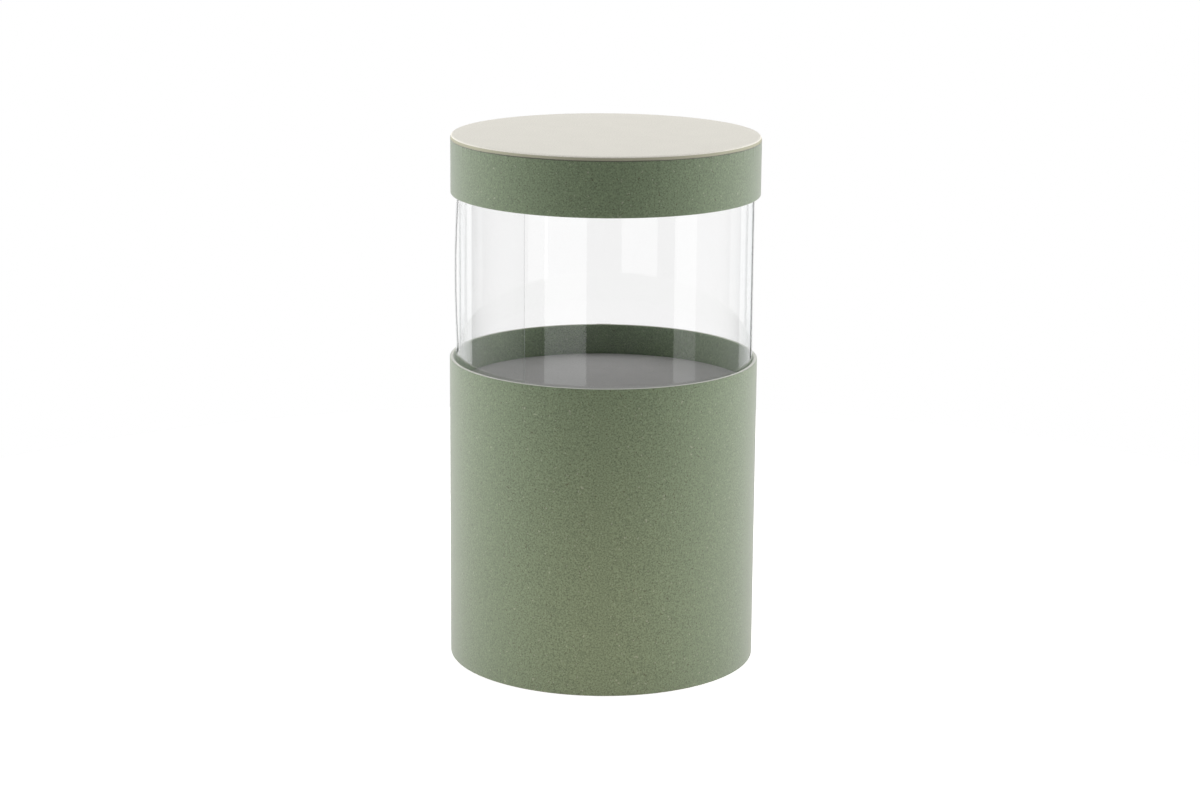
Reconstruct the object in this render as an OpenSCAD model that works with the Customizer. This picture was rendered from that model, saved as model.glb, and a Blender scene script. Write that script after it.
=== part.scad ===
// Cylindrical gift tube box: a paper-wrapped base, a raised floor, a clear rolled sleeve and a lid.
// Origin at the centre of the base's underside, +Z up, +Y to the back where the paper seams lie.

/* [Base] */
// Outer diameter of the wrapped base
base_d = 200; // [120:1:300]
// Height of the base, from the underside to the rim
base_h = 200; // [120:1:300]
// How far the wrap is turned in below the rim
base_turn_in = 25; // [8:0.5:60]
// Width of the wrap's edge that is turned under the bottom
base_turn_under = 14; // [8:0.5:30]

/* [Lid] */
// Depth of the lid, from its top to its lower edge
lid_h = 38; // [26:0.5:90]
// How far the top paper is turned down over the edge
lid_turn_down = 10; // [6:0.5:18]
// Band of top paper left showing above the side paper
lid_reveal = 2.6; // [2:0.1:5]
// How far the side paper is turned in above the lower edge
lid_turn_in = 15; // [6:0.5:20]
// Radial gap between the sleeve and the lid's turned-in paper if both were centred
lid_gap = 1.3; // [1.2:0.1:2.5]
// Gap left between the sleeve and the lid's paper on the side where both lean
lid_side_gap = 0.6; // [0.4:0.1:0.8]

/* [Board and paper] */
// Thickness of the greyboard walls
wall_t = 2.3; // [1.5:0.1:3.5]
// Thickness of the greyboard discs in the floor and in the lid
disc_t = 2.3; // [1.5:0.1:4]
// Thickness of the wrapping and lining papers
paper_t = 0.2; // [0.12:0.02:0.3]
// Rounding of the board's edges under the paper
edge_r = 0.6; // [0.3:0.1:0.7]
// Rounding of the lid's top edge under the paper
lid_edge_r = 1.4; // [0.6:0.1:2]
// Width of the wraps' lapped seams
seam_lap = 10; // [5:0.5:20]
// Distance that the bottom paper stays inside the base's edge
bottom_inset = 2; // [1.2:0.1:5]
// Gap left between a turned-in edge and the lining that meets it
lining_gap = 1; // [0.5:0.1:3]

/* [Raised floor] */
// Depth of the raised floor below the rim
platform_drop = 20; // [10:0.5:60]
// Thickness of the raised floor's board
platform_t = 2; // [1.5:0.1:4]
// Radial gap between the raised floor and the turned-in paper
platform_gap = 0.7; // [0.6:0.1:1.2]
// Thickness of the ring that carries the raised floor
riser_t = 2; // [1.5:0.1:4]
// Radial gap between the ring and the lining
riser_gap = 0.5; // [0.3:0.1:1]

/* [Clear sleeve] */
// Height of the clear window between the rim and the lid
window_h = 107; // [40:1:250]
// Thickness of the clear sheet
sheet_t = 0.3; // [0.2:0.05:0.5]
// Radial gap between the sleeve and the turned-in paper if both were centred
sleeve_gap = 1.7; // [1.4:0.1:2.5]
// Gap left between the sleeve and the turned-in paper on the side where it leans
lean_gap = 0.4; // [0.3:0.1:0.6]
// Length of sheet that lies double where the ends overlap
sheet_overlap = 92; // [30:1:150]
// Free space between the two layers of the overlap
layer_gap = 0.1; // [0.05:0.05:0.3]
// Polar angle of the sheet's inner end, in degrees from +X
seam_angle = 238; // [200:1:340]
// How far the sheet's free outer end springs away
flap_spring = 0.6; // [0:0.1:0.8]

/* [Hidden] */

$fn = 180;
corner_fn = 24;
green = [0.42, 0.48, 0.37];
beige = [0.85, 0.83, 0.79];
grey = [0.56, 0.55, 0.55];
clear = [0.85, 0.92, 0.95, 0.3];

// Base: radii of its layers, and the heights of its floor
base_r = base_d / 2;
tube_r = base_r - paper_t;
tube_inner_r = tube_r - wall_t;
mouth_r = tube_inner_r - paper_t;
board_z = 2 * paper_t;
rim_z = base_h;
floor_z = board_z + disc_t;
floor_top = floor_z + paper_t;
base_lining_top = rim_z - base_turn_in - lining_gap;

// Raised floor
platform_top = rim_z - platform_drop;
platform_z = platform_top - platform_t;
platform_r = mouth_r - platform_gap;
riser_r = mouth_r - riser_gap;

// Sleeve: the outer radius of its single layer, how far it leans to the right, and the angles of its ends
sleeve_r = mouth_r - sleeve_gap;
sleeve_lean = sleeve_gap - lean_gap;
overlap_angle = sheet_overlap / sleeve_r * 180 / PI;
free_angle = seam_angle - overlap_angle;
step_angle = 36;
spring_angle = 24;
sheet_step = 3;
layer_step = sheet_t + layer_gap;

// Lid: its place above the window and beside the axis, and the radii of its layers
lid_z = rim_z + window_h;
lid_top = lid_z + lid_h;
lid_lean = sleeve_lean - (lid_gap - lid_side_gap);
ring_inner_r = sleeve_r + lid_gap + paper_t;
ring_r = ring_inner_r + wall_t;
lid_r = ring_r + 2 * paper_t;
ring_z = lid_z + paper_t;
ring_top = lid_top - paper_t;
lid_disc_z = ring_top - disc_t;
lid_ceiling = lid_disc_z - paper_t;
lid_lining_z = lid_z + lid_turn_in + lining_gap;
sleeve_h = lid_ceiling - platform_top;

// Width of a strip on a wall as an angle
function strip_angle(width, radius) = width / radius * 180 / PI;

// Smooth step from 0 to 1
function ease(t) = let (u = min(max(t, 0), 1)) u * u * (3 - 2 * u);

// Section from x0 to x1 and z0 to z1, with its corners rounded in the order
// lower inner, lower outer, upper outer, upper inner
module section(x0, x1, z0, z1, r) {
    corners = [[x0, z0, 1, 1], [x1, z0, -1, 1], [x1, z1, -1, -1], [x0, z1, 1, -1]];
    difference() {
        translate([x0, z0]) square([x1 - x0, z1 - z0]);
        for (i = [0:3]) {
            if (r[i] > 0) translate([corners[i][0], corners[i][1]]) square(2 * r[i], center = true);
        }
    }
    for (i = [0:3]) {
        c = corners[i];
        if (r[i] > 0) translate([c[0] + c[2] * r[i], c[1] + c[3] * r[i]]) circle(r[i], $fn = corner_fn);
    }
}

module disc(radius, z0, z1) {
    translate([0, 0, z0]) cylinder(r = radius, h = z1 - z0);
}

module ring(inner, outer, z0, z1) {
    rotate_extrude() translate([inner, z0]) square([outer - inner, z1 - z0]);
}

// The base wall's section, grown by the paper that lies on it
module tube_section(grow) {
    section(
        tube_inner_r - grow, tube_r + grow, board_z - grow, rim_z - paper_t + grow,
        [0, edge_r + grow, edge_r + grow, edge_r + grow]
    );
}

// A layer of the wrap over the rim, from one distance off the board to another
module rim_wrap_section(from, to) {
    difference() {
        tube_section(to);
        tube_section(from);
        translate([0, board_z - base_d]) square([tube_inner_r + wall_t / 2, rim_z - base_turn_in - board_z + base_d]);
    }
}

module base_tube_board() {
    color(grey) rotate_extrude() tube_section(0);
}

module base_floor_board() {
    color(grey) disc(tube_inner_r, board_z, floor_z);
}

module base_side_paper() {
    lap = strip_angle(seam_lap, base_r);
    color(green) {
        rotate_extrude() {
            rim_wrap_section(0, paper_t);
            translate([base_r - base_turn_under, board_z - paper_t]) {
                square([base_turn_under - edge_r - paper_t, paper_t]);
            }
        }
        rotate([0, 0, 90 - lap / 2]) rotate_extrude(angle = lap) intersection() {
            rim_wrap_section(paper_t / 2, 2 * paper_t);
            translate([0, board_z + edge_r]) square([base_d, base_h]);
        }
    }
}

module base_bottom_paper() {
    color(green) disc(base_r - bottom_inset, 0, paper_t);
}

module base_lining() {
    color(green) ring(mouth_r, tube_inner_r, floor_top, base_lining_top);
}

module base_floor_lining() {
    color(green) disc(tube_inner_r, floor_z, floor_top);
}

module riser_ring() {
    color(grey) ring(riser_r - riser_t, riser_r, floor_top, platform_z);
}

module platform_board() {
    color(grey) disc(platform_r, platform_z, platform_top);
}

// Outer radius of the sheet at an angle counted from its free outer end. The sheet runs outside its
// own inner end, steps in once it is past it, and the free end springs outwards.
function sheet_r(a) =
    sleeve_r + layer_step * (1 - ease((a - overlap_angle) / step_angle))
    + flap_spring * (1 - ease(a / spring_angle));

function sheet_side(inset) = [
    for (i = [0:ceil((360 + overlap_angle) / sheet_step)])
        let (a = min(i * sheet_step, 360 + overlap_angle), r = sheet_r(a) - inset)
        [r * cos(free_angle + a), r * sin(free_angle + a)]
];

function reversed(points) = [for (i = [len(points) - 1:-1:0]) points[i]];

module clear_sleeve() {
    color(clear) translate([sleeve_lean, 0, platform_top]) linear_extrude(sleeve_h) {
        polygon(concat(sheet_side(0), reversed(sheet_side(sheet_t))));
    }
}

// The lid's ring and disc as one filled section, grown by the paper that lies on it
module lid_blank_section(grow) {
    section(0, ring_r + grow, ring_z, ring_top + grow, [0, 0, lid_edge_r + grow, 0]);
}

// A layer of the side paper, from one distance off the board to another, turned in over the lower edge
module lid_wrap_section(from, to) {
    difference() {
        section(
            ring_inner_r - to, ring_r + paper_t + to, ring_z - to, lid_top - lid_reveal,
            [edge_r + to, edge_r + to, 0, 0]
        );
        section(
            ring_inner_r - from, ring_r + paper_t + from, ring_z - from, lid_top + 1,
            [edge_r + from, edge_r + from, 0, 0]
        );
        translate([0, lid_z + lid_turn_in]) square([ring_inner_r + wall_t / 2, lid_h]);
    }
}

module lid_side_board() {
    color(grey) translate([lid_lean, 0, 0]) rotate_extrude() intersection() {
        lid_blank_section(0);
        section(ring_inner_r, ring_r, ring_z, ring_top, [edge_r, edge_r, 0, 0]);
    }
}

module lid_top_board() {
    color(grey) translate([lid_lean, 0, 0]) disc(ring_inner_r, lid_disc_z, ring_top);
}

module lid_top_paper() {
    color(beige) translate([lid_lean, 0, 0]) rotate_extrude() difference() {
        lid_blank_section(paper_t);
        lid_blank_section(0);
        translate([0, lid_z - lid_h]) square([2 * lid_r, 2 * lid_h - lid_turn_down]);
    }
}

module lid_side_paper() {
    lap = strip_angle(seam_lap, lid_r);
    color(green) translate([lid_lean, 0, 0]) {
        rotate_extrude() lid_wrap_section(0, paper_t);
        rotate([0, 0, 90 - lap / 2]) rotate_extrude(angle = lap) lid_wrap_section(paper_t / 2, 2 * paper_t);
    }
}

module lid_lining() {
    color(green) translate([lid_lean, 0, 0]) ring(ring_inner_r - paper_t, ring_inner_r, lid_lining_z, lid_ceiling);
}

module lid_top_lining() {
    color(green) translate([lid_lean, 0, 0]) disc(ring_inner_r, lid_ceiling, lid_disc_z);
}

base_tube_board();
base_floor_board();
base_side_paper();
base_bottom_paper();
base_lining();
base_floor_lining();
riser_ring();
platform_board();
clear_sleeve();
lid_side_board();
lid_top_board();
lid_top_paper();
lid_side_paper();
lid_lining();
lid_top_lining();
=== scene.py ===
# Looks of the cylindrical gift tube box: papers, greyboard and the clear rolled sheet on the fixed frame.
# Metres, in the part's own frame: origin under the base, +Z up, +Y to the back, where the paper seams lie.
import math

import bmesh
import bpy
from mathutils import Matrix, Vector


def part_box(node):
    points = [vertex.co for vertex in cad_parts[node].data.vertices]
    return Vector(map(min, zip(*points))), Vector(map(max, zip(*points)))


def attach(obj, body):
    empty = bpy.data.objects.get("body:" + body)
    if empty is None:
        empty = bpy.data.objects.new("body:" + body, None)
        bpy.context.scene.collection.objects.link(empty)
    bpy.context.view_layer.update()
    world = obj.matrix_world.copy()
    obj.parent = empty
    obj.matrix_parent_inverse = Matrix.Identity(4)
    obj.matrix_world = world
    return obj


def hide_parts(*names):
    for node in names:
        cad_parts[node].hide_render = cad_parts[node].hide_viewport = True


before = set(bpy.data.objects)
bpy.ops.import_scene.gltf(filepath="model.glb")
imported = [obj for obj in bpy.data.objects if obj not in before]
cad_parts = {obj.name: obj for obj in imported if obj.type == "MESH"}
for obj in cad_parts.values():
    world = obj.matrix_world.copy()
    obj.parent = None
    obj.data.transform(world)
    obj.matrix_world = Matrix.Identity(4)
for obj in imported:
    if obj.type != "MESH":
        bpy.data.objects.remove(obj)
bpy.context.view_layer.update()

MM = 0.001

# Papers and boards
PAPER = 0.2 * MM
EDGE_R = 0.6 * MM
LID_EDGE_R = 1.4 * MM
TURN_UNDER = 14 * MM
TURN_IN = 25 * MM
LID_TURN_DOWN = 10 * MM
LID_REVEAL = 2.6 * MM
LID_TURN_IN = 15 * MM
RISER_T = 2 * MM
SEAM_LAP = 10 * MM
SEAM_ANGLE = 90
# A lap's lower and upper face above the board: it is sunk a little into the paper that it lies on
LAP_FACES = (0.6 * PAPER, 2 * PAPER)
# A plain piece's edges are rounded by this, or by less where the piece is thin
BOARD_EDGE = 0.25 * MM
MOST_ROUNDING = 0.4

# The folds of the lid's top paper, which show as low ridges through the side paper
PLEATS = 46
PLEAT_HEIGHT = 0.13 * MM
PLEAT_WIDTH = 0.7 * MM
PLEAT_LENGTH = 8 * MM
PLEAT_FADE = 3 * MM
# Their spacing drifts by this share, so many times round the lid
PLEAT_DRIFT = 0.3
DRIFT_WAVES = 5

# The side paper's hand-laid upper edge. Each wave has a share, a count round the lid and a start
EDGE_WANDER = 0.16 * MM
EDGE_WANDER_DEPTH = 1 * MM
EDGE_WAVES = ((0.5, 3, 1), (0.3, 8, 0), (0.2, 19, 2))

# The clear sheet: a roll that stands in the mouth, moved to the right, with a lapped flap on the left
SHEET_T = 0.3 * MM
SHEET_OVERLAP = 92 * MM
MOUTH_GAP = 1.7 * MM
SLEEVE_SHIFT = 1.3 * MM
INNER_END_ANGLE = 238
LAYER_STEP = 0.4 * MM
STEP_ANGLE = 36
FLAP_SPRING = 0.6 * MM
SPRING_ANGLE = 24
FLAP_BOW = 2.1 * MM
CORNER_FLARE = 1.2 * MM
CORNER_REACH = 8 * MM
CORNER_ANGLE = 10
# Faces of the clear sheet that a ray can pass: the doubled overlap needs more than the usual count
CLEAR_FACES = 32
# Share of light that one face of the sheet mirrors, seen straight on, and how it rises towards the edge
FILM_MIRROR = 0.03
MIRROR_POWER = 5

# Fineness of the meshes
TURN_STEPS = 360
LID_TURN_STEPS = 720
LAP_STEPS = 12
ARC_STEPS = 7
WRAP_ROW = 8 * MM
STRIP_ROW = 1 * MM
COVER_ROW = 6 * MM
SHEET_TURN = 1.5
SHEET_ROWS = 48
SMOOTH_ANGLE = 40
SAME_POINT = 1e-7
NO_LENGTH = 1e-8

# Colours
GREEN = (0.145, 0.196, 0.111)
# Painted highlight: a pale stripe along the rim's top, where the top light catches the paper
RIM_HIGHLIGHT = (0.37, 0.38, 0.31)
# Painted shadow: a dark line along the green strip's cut upper edge
STRIP_EDGE_SHADOW = (0.07, 0.08, 0.05)
# Light beige of the lid's top paper: partly its own colour, partly painted sheen of the grazing light that
# washes it out
BEIGE_AND_SHEEN = (0.810, 0.785, 0.710)
# Painted shade: the top paper's turned-down band, darker and more olive than the top
BAND_PAINTED_SHADE = (0.40, 0.39, 0.29)
DARK_SPECK = (0.055, 0.042, 0.022)
LIGHT_SPECK = (0.42, 0.43, 0.34)
BOARD_GREY = (0.455, 0.446, 0.449)
BOARD_FLECK = (0.10, 0.09, 0.08)
FILM_TONES = ((0.94, 0.96, 0.97), (0.98, 0.99, 0.99))
FILM_EDGE_TONES = ((0.20, 0.22, 0.22), (0.34, 0.36, 0.36))
FLOOR_GREY = (0.8, 0.8, 0.8)
WARM = (1, 0.72, 0.72)
WHITE = (1, 1, 1)
BLACK = (0, 0, 0)

# Where a noise pattern, which runs from 0 to 1, begins to show and where it shows in full
GRAIN_SPAN = (0.3, 0.7)
CLOUD_SPAN = (0.35, 0.65)
RIPPLE_SPAN = (0.4, 0.6)
FLECK_SOFT = 0.04

# Stripes of tinted paper: their soft borders, the painted highlight on the rim's top, the painted shadow at
# the strip's cut edge and the painted shade on the turned-down band
STRIPE_SOFT = 0.15 * MM
RIM_HIGHLIGHT_DEPTH = 0.15 * MM
EDGE_SHADOW_DEPTH = 0.5 * MM
PAST_TOP = 1 * MM
BEIGE_EDGE = 0.8 * MM

# Camera, fitted to the photograph
CAMERA_AT = (0.0, -1.870497, 0.609893)
CAMERA_LENS = 88.118
CAMERA_SENSOR = 36.0
CAMERA_REACH = 100
PITCH = math.radians(13.2403)
YAW = math.radians(-0.06166)
ROLL = math.radians(0.44443)

# Studio: the background, the floor and the cards and dark gaps that show in the sheet
AMBIENT = 0.27
FLOOR_R = 0.7
FLOOR_SIDES = 96
FLOOR_LIFT = 0.68
OBJECT_MIDDLE = (0, 0, 0.17)
OBJECT_TOP = (0, 0, 0.345)
CARD_HEIGHT = 0.34
GAP_HEIGHT = 0.5
WHITE_CARD_AT = 0.70
GREY_CARD_AT = 0.74
GAP_AT = 0.80
WHITE_CARD = 1.3
DARK_FLAG = 0.03
DARK_GAP = 0.02


# Shapes

def corner_arc(before, corner, after, radius):
    """Points of the arc that rounds one corner of an outline."""
    a = (Vector(before) - Vector(corner)).normalized()
    b = (Vector(after) - Vector(corner)).normalized()
    half = a.angle(b) / 2
    reach = radius / math.tan(half)
    centre = Vector(corner) + (a + b).normalized() * (radius / math.sin(half))
    start = Vector(corner) + a * reach - centre
    end = Vector(corner) + b * reach - centre
    turn = start.angle_signed(end)
    points = []
    for i in range(ARC_STEPS + 1):
        angle = -turn * i / ARC_STEPS
        c, s = math.cos(angle), math.sin(angle)
        points.append((centre.x + start.x * c - start.y * s, centre.y + start.x * s + start.y * c))
    return points


def rounded_path(points, closed=False):
    """A path of (radius, height, rounding) points with its corners rounded."""
    result = []
    count = len(points)
    for i, (x, z, rounding) in enumerate(points):
        if rounding > 0 and (closed or 0 < i < count - 1):
            before = points[i - 1][:2]
            after = points[(i + 1) % count][:2]
            result.extend(corner_arc(before, (x, z), after, rounding))
        else:
            result.append((x, z))
    return result


def with_rows(path, longest):
    """The path with its long straight stretches divided."""
    result = [path[0]]
    for a, b in zip(path, path[1:]):
        steps = max(1, math.ceil(math.dist(a, b) / longest))
        for i in range(1, steps + 1):
            result.append((a[0] + (b[0] - a[0]) * i / steps, a[1] + (b[1] - a[1]) * i / steps))
    return result


def shifted(path, distance):
    """The path moved to its right-hand side, which is outwards on a path that climbs the outside."""
    result = []
    for i, point in enumerate(path):
        before = Vector(path[max(i - 1, 0)])
        after = Vector(path[min(i + 1, len(path) - 1)])
        along = (after - before).normalized()
        result.append((point[0] + along.y * distance, point[1] - along.x * distance))
    return result


def band(path, inner, outer):
    """Closed outline of a layer of paper that lies along a path, between two distances from it."""
    return shifted(path, outer) + list(reversed(shifted(path, inner)))


def turn(bm, outline, centre=0.0, start=0.0, sweep=360.0, steps=TURN_STEPS, shape=None):
    """Turns a closed outline of (radius, height) about the vertical at x = centre.
    shape, where given, moves each point by its own angle, radius and height."""
    whole = sweep >= 360
    rings = []
    for i in range(steps if whole else steps + 1):
        angle = math.radians(start + sweep * i / steps)
        ring = []
        for r, z in outline:
            if shape:
                r, z = shape(angle, r, z)
            ring.append(bm.verts.new((centre + r * math.cos(angle), r * math.sin(angle), z)))
        rings.append(ring)
    size = len(outline)
    pairs = list(zip(rings, rings[1:]))
    if whole:
        pairs.append((rings[-1], rings[0]))
    for here, there in pairs:
        for j in range(size):
            k = (j + 1) % size
            bm.faces.new((here[j], there[j], there[k], here[k]))
    if not whole:
        bm.faces.new(rings[0])
        bm.faces.new(list(reversed(rings[-1])))


def close_axis(bm):
    """Clears the faces of no area that an outline leaves where it meets the axis."""
    bmesh.ops.dissolve_degenerate(bm, dist=NO_LENGTH, edges=bm.edges)


def make_piece(name, bm, body, nodes, materials):
    """Makes the object, rides it on its body and hides the CAD nodes that it stands for."""
    bmesh.ops.remove_doubles(bm, verts=bm.verts, dist=SAME_POINT)
    bmesh.ops.recalc_face_normals(bm, faces=bm.faces)
    mesh = bpy.data.meshes.new(name)
    bm.to_mesh(mesh)
    bm.free()
    mesh.shade_smooth()
    mesh.set_sharp_from_angle(angle=math.radians(SMOOTH_ANGLE))
    for material in materials:
        mesh.materials.append(material)
    piece = bpy.data.objects.new(name, mesh)
    bpy.context.scene.collection.objects.link(piece)
    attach(piece, body)
    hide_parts(*nodes)


def simple_disc(name, radius, low, high, body, node, material, x=0.0):
    """A flat round piece between two heights, with its edge slightly rounded."""
    rounding = min(BOARD_EDGE, (high - low) * MOST_ROUNDING)
    outline = rounded_path([(0, low, 0), (radius, low, rounding), (radius, high, rounding), (0, high, 0)])
    bm = bmesh.new()
    turn(bm, outline, x)
    close_axis(bm)
    make_piece(name, bm, body, [node], [material])


def simple_ring(name, inner, outer, low, high, body, node, material, x=0.0):
    """A straight round wall between two radii and two heights, with its edges slightly rounded."""
    rounding = min(BOARD_EDGE, (outer - inner) * MOST_ROUNDING)
    corners = [(inner, low), (outer, low), (outer, high), (inner, high)]
    bm = bmesh.new()
    turn(bm, rounded_path([(r, z, rounding) for r, z in corners], closed=True), x)
    make_piece(name, bm, body, [node], [material])


def clamp(t):
    """t held between 0 and 1."""
    return min(max(t, 0.0), 1.0)


def ease(t):
    """A smooth rise from 0 to 1 while t goes from 0 to 1."""
    t = clamp(t)
    return t * t * (3 - 2 * t)


# Material nodes

def feed(tree, socket, value):
    """Gives a socket its value: a link from another socket, a colour or a number."""
    if isinstance(value, bpy.types.NodeSocket):
        tree.links.new(value, socket)
    elif isinstance(value, tuple):
        socket.default_value = (*value, 1.0)
    else:
        socket.default_value = value


def set_inputs(tree, node, values):
    """Feeds several sockets of a node by their names."""
    for name, value in values.items():
        feed(tree, node.inputs[name], value)


def start_material(name):
    """A new material, its node tree and its shader."""
    material = bpy.data.materials.new(name)
    material.use_nodes = True
    tree = material.node_tree
    return material, tree, tree.nodes["Principled BSDF"]


def object_place(tree):
    """Where a point lies on its own object."""
    return tree.nodes.new("ShaderNodeTexCoord").outputs["Object"]


def noise(tree, place, scale, detail=2.0, roughness=0.5):
    """A noise pattern, its blots about 1/scale metres across."""
    node = tree.nodes.new("ShaderNodeTexNoise")
    set_inputs(tree, node, {"Vector": place, "Scale": scale, "Detail": detail, "Roughness": roughness})
    return node.outputs["Fac"]


def between(tree, value, low, high, to_low=0.0, to_high=1.0):
    """The value mapped from low and high onto to_low and to_high, and held to these."""
    node = tree.nodes.new("ShaderNodeMapRange")
    limits = {"From Min": low, "From Max": high, "To Min": to_low, "To Max": to_high}
    set_inputs(tree, node, {"Value": value, **limits})
    return node.outputs["Result"]


def combined(tree, operation, a, b):
    """The result of a Math node on two values."""
    node = tree.nodes.new("ShaderNodeMath")
    node.operation = operation
    feed(tree, node.inputs[0], a)
    feed(tree, node.inputs[1], b)
    return node.outputs[0]


def mixed(tree, factor, a, b):
    """Colour a turned into colour b by the factor."""
    node = tree.nodes.new("ShaderNodeMix")
    node.data_type = "RGBA"
    # The node has a pair of sockets for each type of data, and shares their names among them
    factor_socket, colour_a, colour_b = node.inputs[0], node.inputs[6], node.inputs[7]
    colour_out = node.outputs[2]
    feed(tree, factor_socket, factor)
    feed(tree, colour_a, a)
    feed(tree, colour_b, b)
    return colour_out


def scaled(colour, factor):
    """The colour made darker or lighter."""
    return tuple(c * factor for c in colour)


def mottled(tree, place, colour, fine, grain, cloud_scale, cloud_share, cloud_shade):
    """The colour broken up by a fine grain, with soft clouds of a darker shade."""
    cloud = noise(tree, place, cloud_scale, detail=3)
    dark, light = scaled(colour, 1 - grain), scaled(colour, 1 + grain)
    tone = mixed(tree, between(tree, fine, *GRAIN_SPAN), dark, light)
    return mixed(tree, between(tree, cloud, *CLOUD_SPAN, 0, cloud_share), tone, scaled(colour, cloud_shade))


def flecked(tree, place, tone, scale, start, share, colour):
    """The tone with scattered flecks of another colour. The higher the start, the fewer the flecks."""
    spots = noise(tree, place, scale, detail=1)
    return mixed(tree, between(tree, spots, start, start + FLECK_SOFT, 0, share), tone, colour)


def striped(tree, place, tone, low, high, tint):
    """The tone with a stripe of another colour between two heights."""
    split = tree.nodes.new("ShaderNodeSeparateXYZ")
    set_inputs(tree, split, {"Vector": place})
    height = split.outputs["Z"]
    above_low = between(tree, height, low - STRIPE_SOFT, low + STRIPE_SOFT)
    below_high = between(tree, height, high - STRIPE_SOFT, high + STRIPE_SOFT, 1, 0)
    return mixed(tree, combined(tree, "MULTIPLY", above_low, below_high), tone, tint)


def add_bump(tree, shader, height, strength, distance):
    """Fine relief on a shader from a pattern of heights."""
    node = tree.nodes.new("ShaderNodeBump")
    set_inputs(tree, node, {"Height": height, "Strength": strength, "Distance": distance})
    set_inputs(tree, shader, {"Normal": node.outputs["Normal"]})


# Materials of the object

def paper(name, colour, grain=0.46, specks=1.0, sheen=0.8, stripes=()):
    """Uncoated paper with a fine even grain and a few dark and light specks.
    Each stripe is (lowest, highest, colour): it tints the paper between two heights."""
    material, tree, shader = start_material(name)
    place = object_place(tree)
    fine = noise(tree, place, 1000, detail=3, roughness=0.7)
    tone = mottled(tree, place, colour, fine, grain, cloud_scale=60, cloud_share=0.06, cloud_shade=0.7)
    tone = flecked(tree, place, tone, scale=620, start=0.70, share=0.6 * specks, colour=DARK_SPECK)
    tone = flecked(tree, place, tone, scale=560, start=0.71, share=0.4 * specks, colour=LIGHT_SPECK)
    for low, high, tint in stripes:
        tone = striped(tree, place, tone, low, high, tint)
    set_inputs(tree, shader, {
        "Base Color": tone,
        "Roughness": between(tree, fine, *GRAIN_SPAN, 0.78, 0.92),
        "Specular IOR Level": 0.25,
        "Sheen Weight": sheen,
        "Sheen Roughness": 0.5,
    })
    add_bump(tree, shader, fine, strength=0.25, distance=0.05 * MM)
    return material


def greyboard():
    """Bare recycled board: mottled grey with fine flecks."""
    material, tree, shader = start_material("bare_greyboard")
    place = object_place(tree)
    fine = noise(tree, place, 1200, detail=4, roughness=0.7)
    tone = mottled(tree, place, BOARD_GREY, fine, 0.12, cloud_scale=90, cloud_share=0.15, cloud_shade=0.75)
    tone = flecked(tree, place, tone, scale=700, start=0.70, share=0.5, colour=BOARD_FLECK)
    set_inputs(tree, shader, {
        "Base Color": tone,
        "Roughness": between(tree, fine, *GRAIN_SPAN, 0.82, 0.95),
        "Specular IOR Level": 0.2,
    })
    add_bump(tree, shader, fine, strength=0.3, distance=0.06 * MM)
    return material


def clear_film():
    """Clear glossy sheet: what it doesn't mirror passes straight through."""
    material, tree, shader = start_material("clear_film")
    ripple = noise(tree, object_place(tree), 14, detail=1)
    facing = tree.nodes.new("ShaderNodeLayerWeight")
    set_inputs(tree, facing, {"Blend": 0.5})
    rise = combined(tree, "POWER", facing.outputs["Facing"], MIRROR_POWER)
    set_inputs(tree, shader, {
        "Alpha": between(tree, rise, 0, 1, FILM_MIRROR, 1),
        "Base Color": mixed(tree, between(tree, ripple, *RIPPLE_SPAN), *FILM_TONES),
        "Metallic": 1.0,
        "Roughness": 0.04,
    })
    add_bump(tree, shader, ripple, strength=0.05, distance=1 * MM)
    return material


def film_edge():
    """The sheet's cut edges, which gather the light and show as fine grey lines."""
    material, tree, shader = start_material("film_edge")
    tone = mixed(tree, noise(tree, object_place(tree), 300), *FILM_EDGE_TONES)
    set_inputs(tree, shader, {"Base Color": tone, "Roughness": 0.3, "Alpha": 0.75})
    return material


# The frame's own sizes

tube_low, tube_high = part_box("base_tube_board")
tube_r = tube_high[0]
board_z = tube_low[2]
board_top = tube_high[2]
bore_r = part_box("base_floor_board")[1][0]
rim_z = board_top + PAPER
lining_low, lining_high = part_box("base_lining")
bottom_low, bottom_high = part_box("base_bottom_paper")
floor_lining_low, floor_lining_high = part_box("base_floor_lining")
riser_low, riser_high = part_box("riser_ring")
platform_low, platform_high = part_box("platform_board")
sleeve_low, sleeve_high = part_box("clear_sleeve")
ring_low, ring_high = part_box("lid_side_board")
disc_low, disc_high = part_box("lid_top_board")
lid_x = (ring_low[0] + ring_high[0]) / 2
ring_r = (ring_high[0] - ring_low[0]) / 2
ring_inner_r = (disc_high[0] - disc_low[0]) / 2
ring_z = ring_low[2]
ring_top = ring_high[2]
lid_z = ring_z - PAPER
lid_top = ring_top + PAPER
strip_top = lid_top - LID_REVEAL
lid_lining_low, lid_lining_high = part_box("lid_lining")
lid_under_low, lid_under_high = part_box("lid_top_lining")
mouth_r = bore_r - PAPER
sleeve_r = mouth_r - MOUTH_GAP
overlap_angle = math.degrees(SHEET_OVERLAP / sleeve_r)
free_angle = INNER_END_ANGLE - overlap_angle

# Painted highlight along the rim's top
rim_highlight_stripe = (rim_z - RIM_HIGHLIGHT_DEPTH, rim_z + PAST_TOP, RIM_HIGHLIGHT)
# Painted shadow along the strip's cut upper edge
edge_shadow_stripe = (strip_top - EDGE_SHADOW_DEPTH, strip_top + PAST_TOP, STRIP_EDGE_SHADOW)
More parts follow.
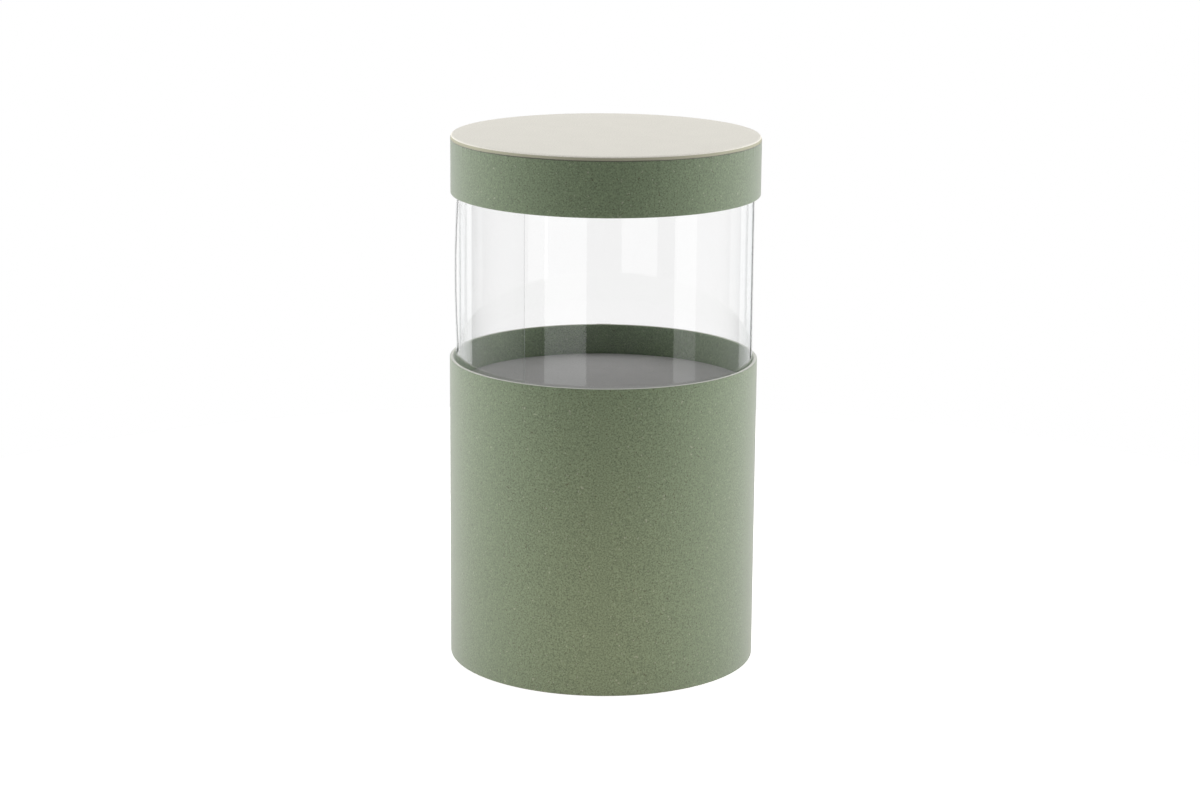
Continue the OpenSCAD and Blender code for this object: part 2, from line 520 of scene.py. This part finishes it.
# Painted shade on the turned-down band below the top's edge
band_shade_stripe = (lid_top - LID_TURN_DOWN, lid_top - BEIGE_EDGE, BAND_PAINTED_SHADE)
green_paper = paper("green_paper_outside", GREEN, stripes=(rim_highlight_stripe,))
lid_green = paper("green_paper_lid", GREEN, stripes=(edge_shadow_stripe,))
# The top paper's light beige is partly painted sheen, and its own sheen is kept low
beige_and_sheen_paper = paper("beige_and_sheen_paper_lid", BEIGE_AND_SHEEN, grain=0.10, specks=0.12, sheen=0.1, stripes=(band_shade_stripe,))
board = greyboard()
film = clear_film()
edge_film = film_edge()


# Base

def base_wrap():
    """The green wrap: under the bottom, up the wall, over the rim and in, lapped at the back."""
    over_the_rim = [
        (tube_r, board_top, EDGE_R),
        (bore_r, board_top, EDGE_R),
        (bore_r, rim_z - TURN_IN, 0),
    ]
    under_the_base = [(tube_r + PAPER - TURN_UNDER, board_z, 0), (tube_r, board_z, EDGE_R)]
    bm = bmesh.new()
    turn(bm, band(with_rows(rounded_path(under_the_base + over_the_rim), WRAP_ROW), 0, PAPER))
    lap_path = rounded_path([(tube_r, board_z + EDGE_R, 0)] + over_the_rim)
    lap = math.degrees(SEAM_LAP / tube_r)
    turn(bm, band(lap_path, *LAP_FACES), 0, SEAM_ANGLE - lap / 2, lap, LAP_STEPS)
    make_piece("base_green_wrap", bm, "base", ["base_side_paper"], [green_paper])


base_wrap()
simple_disc("base_underside_paper", bottom_high[0], bottom_low[2], bottom_high[2],
            "base", "base_bottom_paper", green_paper)
simple_ring("base_inner_lining", mouth_r, bore_r, lining_low[2], lining_high[2],
            "base", "base_lining", green_paper)
simple_disc("base_inner_floor_paper", floor_lining_high[0], floor_lining_low[2], floor_lining_high[2],
            "base", "base_floor_lining", green_paper)
simple_ring("riser_board_ring", riser_high[0] - RISER_T, riser_high[0], riser_low[2], riser_high[2],
            "base", "riser_ring", board)
simple_disc("raised_floor", platform_high[0], platform_low[2], platform_high[2],
            "platform", "platform_board", board)


# Clear sleeve

def sheet_radius(a, z):
    """Outer radius of the sheet, a degrees past its free outer end.
    The sheet steps over its own inner end, and the free flap bows out in the window."""
    r = sleeve_r + LAYER_STEP * (1 - ease((a - overlap_angle) / STEP_ANGLE))
    near_end = 1 - ease(a / SPRING_ANGLE)
    bow = math.sin(math.pi * clamp((z - rim_z) / (lid_z - rim_z)))
    corner = ease(1 - abs(z - rim_z) / CORNER_REACH) * (1 - ease(a / CORNER_ANGLE))
    return r + near_end * (FLAP_SPRING * (1 - bow) + FLAP_BOW * bow) + CORNER_FLARE * corner


def sheet_face(bm, inset, last, turns):
    """Rows of points over one face of the sheet, from its lower edge up."""
    low, high = sleeve_low[2], sleeve_high[2]
    rows = []
    for j in range(SHEET_ROWS + 1):
        z = low + (high - low) * j / SHEET_ROWS
        row = []
        for i in range(turns + 1):
            a = last * i / turns
            r = sheet_radius(a, z) - inset
            angle = math.radians(free_angle + a)
            row.append(bm.verts.new((SLEEVE_SHIFT + r * math.cos(angle), r * math.sin(angle), z)))
        rows.append(row)
    return rows


def clear_sleeve():
    """One closed thin sheet rolled with an overlap. Its four edges take the darker edge finish."""
    materials = [film, edge_film]
    last = 360 + overlap_angle
    turns = math.ceil(last / SHEET_TURN)
    bm = bmesh.new()
    outer = sheet_face(bm, 0.0, last, turns)
    inner = sheet_face(bm, SHEET_T, last, turns)
    for j in range(SHEET_ROWS):
        for i in range(turns):
            bm.faces.new((outer[j][i], outer[j][i + 1], outer[j + 1][i + 1], outer[j + 1][i]))
            bm.faces.new((inner[j][i + 1], inner[j][i], inner[j + 1][i], inner[j + 1][i + 1]))
    edges = []
    for j in range(SHEET_ROWS):
        for i in (0, turns):
            edges.append((outer[j][i], inner[j][i], inner[j + 1][i], outer[j + 1][i]))
    for i in range(turns):
        for j in (0, SHEET_ROWS):
            edges.append((outer[j][i], outer[j][i + 1], inner[j][i + 1], inner[j][i]))
    for corners in edges:
        bm.faces.new(corners).material_index = materials.index(edge_film)
    make_piece("rolled_clear_sheet", bm, "sleeve", ["clear_sleeve"], materials)


clear_sleeve()


# Lid

def wander(angle):
    """A hand-laid edge's small rise and fall round the lid."""
    return EDGE_WANDER * sum(share * math.sin(count * angle + start) for share, count, start in EDGE_WAVES)


def pleats(angle, r, z):
    """Moves a point on the side paper's outside: ridges over the folds, and an uneven upper edge."""
    if r < ring_r or z < strip_top - PLEAT_LENGTH:
        return r, z
    turn_at = angle / (2 * math.pi) * PLEATS
    drift = PLEAT_DRIFT * math.sin(DRIFT_WAVES * angle)
    nearest = round(turn_at + drift) - drift
    off = (turn_at - nearest) * 2 * math.pi * ring_r / PLEATS
    ridge = math.exp(-(off / PLEAT_WIDTH) ** 2)
    fade = ease((z - (strip_top - PLEAT_LENGTH)) / PLEAT_FADE)
    top = ease((z - (strip_top - EDGE_WANDER_DEPTH)) / EDGE_WANDER_DEPTH)
    return r + PLEAT_HEIGHT * ridge * fade, z + wander(angle) * top


def lid_side_wrap():
    """The green strip: down the lid's side, round its lower edge and up the inside, lapped at the back."""
    path = rounded_path([
        (ring_inner_r, lid_z + LID_TURN_IN, 0),
        (ring_inner_r, ring_z, EDGE_R),
        (ring_r + PAPER, ring_z, EDGE_R),
        (ring_r + PAPER, strip_top, 0),
    ])
    bm = bmesh.new()
    turn(bm, band(with_rows(path, STRIP_ROW), 0, PAPER), lid_x, steps=LID_TURN_STEPS, shape=pleats)
    lap = math.degrees(SEAM_LAP / ring_r)
    turn(bm, band(path, *LAP_FACES), lid_x, SEAM_ANGLE - lap / 2, lap, LAP_STEPS)
    make_piece("lid_green_wrap", bm, "lid", ["lid_side_paper"], [lid_green])


def lid_top_cover():
    """The top paper, light beige that is partly its own colour and partly painted sheen: flat over the top,
    round the edge and down under the strip.
    """
    path = rounded_path([
        (ring_r, lid_top - LID_TURN_DOWN, 0),
        (ring_r, ring_top, LID_EDGE_R),
        (0, ring_top, 0),
    ])
    bm = bmesh.new()
    turn(bm, band(with_rows(path, COVER_ROW), 0, PAPER), lid_x)
    close_axis(bm)
    make_piece("lid_beige_cover", bm, "lid", ["lid_top_paper"], [beige_and_sheen_paper])


lid_side_wrap()
lid_top_cover()
simple_ring("lid_inner_lining", ring_inner_r - PAPER, ring_inner_r, lid_lining_low[2], lid_lining_high[2],
            "lid", "lid_lining", green_paper, lid_x)
simple_disc("lid_ceiling_paper", ring_inner_r, lid_under_low[2], lid_under_high[2],
            "lid", "lid_top_lining", green_paper, lid_x)

# The boards keep the frame's own shapes
for name in ("base_tube_board", "base_floor_board", "lid_side_board", "lid_top_board"):
    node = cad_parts[name]
    if not node.material_slots:
        node.data.materials.append(board)
    for slot in node.material_slots:
        slot.material = board


# Studio

def white_to_the_eye(tree):
    """1 for camera, mirror and transmission rays, which see the white background."""
    path = tree.nodes.new("ShaderNodeLightPath")
    seen = path.outputs["Is Camera Ray"]
    for other in ("Is Glossy Ray", "Is Transmission Ray"):
        seen = combined(tree, "MAXIMUM", seen, path.outputs[other])
    return seen


def set_world():
    """A background that shows white and lights the object only by the ambient strength."""
    world = bpy.data.worlds.new("studio")
    world.use_nodes = True
    bpy.context.scene.world = world
    tree = world.node_tree
    strength = between(tree, white_to_the_eye(tree), 0, 1, AMBIENT, 1.0)
    set_inputs(tree, tree.nodes["Background"], {"Color": WHITE, "Strength": strength})


def stage_plane(name, width, height, place, rotation):
    """A flat rectangle that belongs to the studio."""
    bpy.ops.mesh.primitive_plane_add(size=1)
    plane = bpy.context.object
    plane.name = name
    plane.data.transform(Matrix.Diagonal((width, height, 1, 1)))
    plane.rotation_euler = rotation
    plane.location = place
    return plane


def make_floor():
    """A round pale floor. Past its edge the white background takes over without a seam."""
    bpy.ops.mesh.primitive_circle_add(vertices=FLOOR_SIDES, radius=FLOOR_R, fill_type="NGON")
    floor = bpy.context.object
    floor.name = "studio_floor"
    material, tree, shader = start_material("pale_floor")
    set_inputs(tree, shader, {
        "Base Color": FLOOR_GREY,
        "Roughness": 1.0,
        "Specular IOR Level": 0.0,
        "Emission Color": WHITE,
        "Emission Strength": between(tree, white_to_the_eye(tree), 0, 1, 0, FLOOR_LIFT),
    })
    floor.data.materials.append(material)


def reflection_card(name, from_angle, to_angle, distance, brightness, height=CARD_HEIGHT, back=False):
    """An upright card that only mirror rays see. Its angles run from straight in front of the object,
    or from straight behind it with back, and are negative to the left."""
    middle = math.radians((from_angle + to_angle) / 2)
    width = 2 * distance * math.tan(math.radians((to_angle - from_angle) / 2))
    side = 1 if back else -1
    place = (distance * math.sin(middle), side * distance * math.cos(middle), height / 2)
    facing = math.atan2(place[1], place[0]) - math.pi / 2
    card = stage_plane(name, width, height, place, (math.pi / 2, 0, facing))
    material, tree, shader = start_material(name + "_finish")
    set_inputs(tree, shader, {
        "Base Color": BLACK,
        "Specular IOR Level": 0.0,
        "Emission Color": WHITE,
        "Emission Strength": brightness,
    })
    card.data.materials.append(material)
    card.visible_camera = False
    card.visible_diffuse = False
    card.visible_transmission = False
    card.visible_shadow = False


def soft_lamp(name, place, size, energy, aim=OBJECT_MIDDLE, colour=WHITE, mirrored=True):
    """A lamp with a wide face turned to what it lights. The camera doesn't see the lamp itself."""
    data = bpy.data.lights.new(name, "AREA")
    data.shape = "RECTANGLE"
    data.size, data.size_y = size
    data.energy = energy
    data.color = colour
    lamp = bpy.data.objects.new(name, data)
    lamp.location = place
    lamp.rotation_euler = (Vector(aim) - Vector(place)).to_track_quat("-Z", "Y").to_euler()
    lamp.visible_camera = False
    lamp.visible_glossy = mirrored
    bpy.context.scene.collection.objects.link(lamp)


def make_camera():
    """The camera at the photograph's viewing angle, a little rolled as the photograph is."""
    forward = Vector((math.sin(YAW) * math.cos(PITCH), math.cos(YAW) * math.cos(PITCH), -math.sin(PITCH)))
    level = Vector((math.cos(YAW), -math.sin(YAW), 0))
    upright = level.cross(forward)
    right = math.cos(ROLL) * level + math.sin(ROLL) * upright
    up = -math.sin(ROLL) * level + math.cos(ROLL) * upright
    data = bpy.data.cameras.new("photo_camera")
    data.lens = CAMERA_LENS
    data.sensor_width = CAMERA_SENSOR
    data.sensor_fit = "HORIZONTAL"
    data.clip_end = CAMERA_REACH
    camera = bpy.data.objects.new("photo_camera", data)
    camera.matrix_world = Matrix.Translation(CAMERA_AT) @ Matrix((right, up, -forward)).transposed().to_4x4()
    bpy.context.scene.collection.objects.link(camera)
    bpy.context.scene.camera = camera


set_world()
make_floor()
soft_lamp("left_softbox", place=(-1.3, 0.1, 0.38), size=(1.1, 1.2), energy=18.8)
soft_lamp("right_softbox", place=(1.3, 0.1, 0.38), size=(1.1, 1.2), energy=19.4)
soft_lamp("top_softbox", place=(0, 0.3, 1.7), size=(1.4, 1.4), energy=8.8, aim=OBJECT_TOP)
soft_lamp("low_warm_bounce", place=(0, -0.28, 0.02), size=(0.3, 0.04), energy=0.2,
          aim=(0, 0, 0.02), colour=WARM, mirrored=False)
soft_lamp("low_front_fill", place=(0, -1.2, 0.04), size=(1.2, 0.08), energy=1.2,
          aim=(0, 0, 0.06), mirrored=False)
reflection_card("left_white_card", -44, -13, WHITE_CARD_AT, WHITE_CARD)
reflection_card("right_white_card", 51, 69, WHITE_CARD_AT, WHITE_CARD)
reflection_card("front_dark_flag", -13, 51, GREY_CARD_AT, DARK_FLAG)
reflection_card("left_dark_flag", -63, -44, GREY_CARD_AT, DARK_FLAG)
reflection_card("left_grey_card", -122, -63, GREY_CARD_AT, brightness=0.3)
reflection_card("right_grey_card", 69, 122, GREY_CARD_AT, brightness=0.35)
reflection_card("back_left_gap", -30, -24, GAP_AT, DARK_GAP, height=GAP_HEIGHT, back=True)
reflection_card("back_right_gap", 24, 30, GAP_AT, DARK_GAP, height=GAP_HEIGHT, back=True)
make_camera()
bpy.context.scene.view_settings.view_transform = "Standard"
bpy.context.scene.cycles.transparent_max_bounces = CLEAR_FACES
